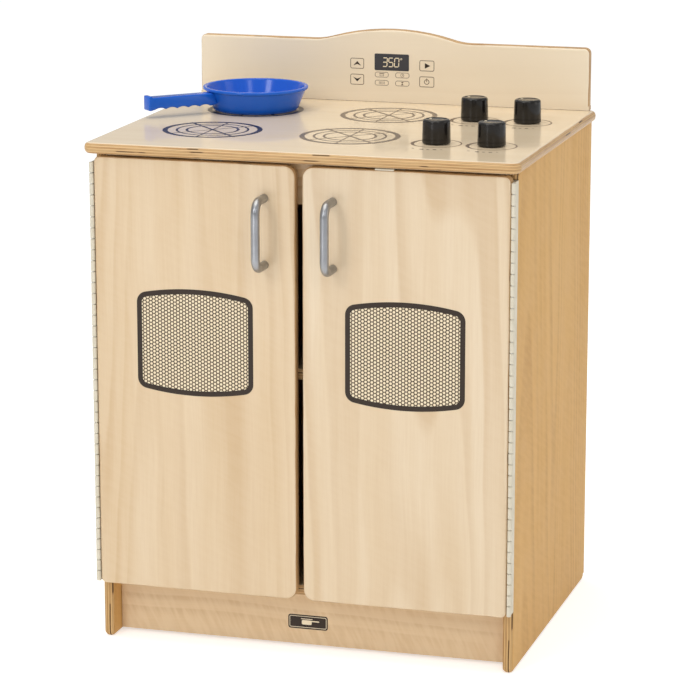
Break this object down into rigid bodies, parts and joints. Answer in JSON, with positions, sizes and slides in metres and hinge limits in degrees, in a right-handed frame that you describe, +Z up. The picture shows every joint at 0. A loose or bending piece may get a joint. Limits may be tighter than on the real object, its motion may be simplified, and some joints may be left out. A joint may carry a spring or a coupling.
{
  "type": "toy kitchen stove",
  "caption": "Wooden play stove: plywood cabinet with two hinged doors, a printed worktop with turning knobs, an arched backsplash and a lift-off toy frying pan.",
  "frame": {"origin": "centre of the footprint, on the floor", "axes": "+X to the right as one faces the doors, +Y to the back, +Z up; the doors face -Y"},
  "size_m": [0.508, 0.436, 0.6803],
  "materials": {
    "birch_ply": "clear satin lacquer over pale birch plywood, glossy on the worktop",
    "thin_ply": "thin birch plywood, clear lacquer",
    "hinge_enamel": "cream enamel on folded steel",
    "handle_steel": "satin",
    "zinc_steel": "zinc plated",
    "knob_plastic": "gloss black",
    "catch_plastic": "moulded off-white",
    "magnet": "sintered ferrite",
    "pan_plastic": "gloss royal blue",
    "ink_brown": "screen-printed brown ink under lacquer",
    "ink_navy": "screen-printed navy ink under lacquer",
    "ink_tan": "screen-printed thin brown ink under lacquer",
    "ink_cream": "screen-printed cream ink under lacquer"
  },
  "bodies": {
    "cabinet": {"side_panel_left": "birch_ply", "side_panel_right": "birch_ply", "bottom_panel": "birch_ply", "middle_shelf": "birch_ply", "back_panel": "thin_ply", "toe_kick": "birch_ply", "front_top_rail": "birch_ply", "top_cleat_left": "birch_ply", "top_cleat_right": "birch_ply", "cleat_screw_left_1": "zinc_steel", "cleat_screw_left_2": "zinc_steel", "cleat_screw_right_1": "zinc_steel", "cleat_screw_right_2": "zinc_steel", "worktop": "birch_ply", "backsplash": "birch_ply", "backsplash_screw_1": "zinc_steel", "backsplash_screw_2": "zinc_steel", "backsplash_screw_3": "zinc_steel", "hinge_left_frame_leaf": "hinge_enamel", "hinge_right_frame_leaf": "hinge_enamel", "hinge_left_pin": "zinc_steel", "hinge_right_pin": "zinc_steel", "catch_housing_left": "catch_plastic", "catch_housing_right": "catch_plastic", "catch_magnet_left": "magnet", "catch_magnet_right": "magnet", "catch_screw_left": "zinc_steel", "catch_screw_right": "zinc_steel"},
    "left_door": {"door_left": "birch_ply", "handle_left": "handle_steel", "handle_screw_left_lower": "zinc_steel", "handle_screw_left_upper": "zinc_steel", "hinge_left_door_leaf": "hinge_enamel", "strike_plate_left": "zinc_steel", "strike_screw_left": "zinc_steel"},
    "right_door": {"door_right": "birch_ply", "handle_right": "handle_steel", "handle_screw_right_lower": "zinc_steel", "handle_screw_right_upper": "zinc_steel", "hinge_right_door_leaf": "hinge_enamel", "strike_plate_right": "zinc_steel", "strike_screw_right": "zinc_steel"},
    "front_left_knob": {"knob_front_left": "knob_plastic", "knob_bolt_front_left": "zinc_steel", "knob_washer_front_left": "zinc_steel", "knob_lock_nut_front_left": "zinc_steel"},
    "front_right_knob": {"knob_front_right": "knob_plastic", "knob_bolt_front_right": "zinc_steel", "knob_washer_front_right": "zinc_steel", "knob_lock_nut_front_right": "zinc_steel"},
    "rear_left_knob": {"knob_rear_left": "knob_plastic", "knob_bolt_rear_left": "zinc_steel", "knob_washer_rear_left": "zinc_steel", "knob_lock_nut_rear_left": "zinc_steel"},
    "rear_right_knob": {"knob_rear_right": "knob_plastic", "knob_bolt_rear_right": "zinc_steel", "knob_washer_rear_right": "zinc_steel", "knob_lock_nut_rear_right": "zinc_steel"},
    "pan": {"frying_pan": "pan_plastic"}
  },
  "joints": [
    {"name": "left_door_swing", "type": "hinge", "parent": "cabinet", "child": "left_door", "pos_m": [-0.2458, -0.179, 0.32], "axis": [0, 0, -1], "range_deg": [0, 205]},
    {"name": "right_door_swing", "type": "hinge", "parent": "cabinet", "child": "right_door", "pos_m": [0.2458, -0.179, 0.32], "axis": [0, 0, 1], "range_deg": [0, 205]},
    {"name": "front_left_knob_turn", "type": "hinge", "parent": "cabinet", "child": "front_left_knob", "pos_m": [0.132, -0.08, 0.6], "axis": [0, 0, 1], "continuous": true},
    {"name": "front_right_knob_turn", "type": "hinge", "parent": "cabinet", "child": "front_right_knob", "pos_m": [0.196, -0.08, 0.6], "axis": [0, 0, 1], "continuous": true},
    {"name": "rear_left_knob_turn", "type": "hinge", "parent": "cabinet", "child": "rear_left_knob", "pos_m": [0.132, 0.095, 0.6], "axis": [0, 0, 1], "continuous": true},
    {"name": "rear_right_knob_turn", "type": "hinge", "parent": "cabinet", "child": "rear_right_knob", "pos_m": [0.196, 0.095, 0.6], "axis": [0, 0, 1], "continuous": true},
    {"name": "pan_lift", "type": "slide", "parent": "cabinet", "child": "pan", "axis": [0, 0, 1], "range_m": [0, 0.15]}
  ]
}
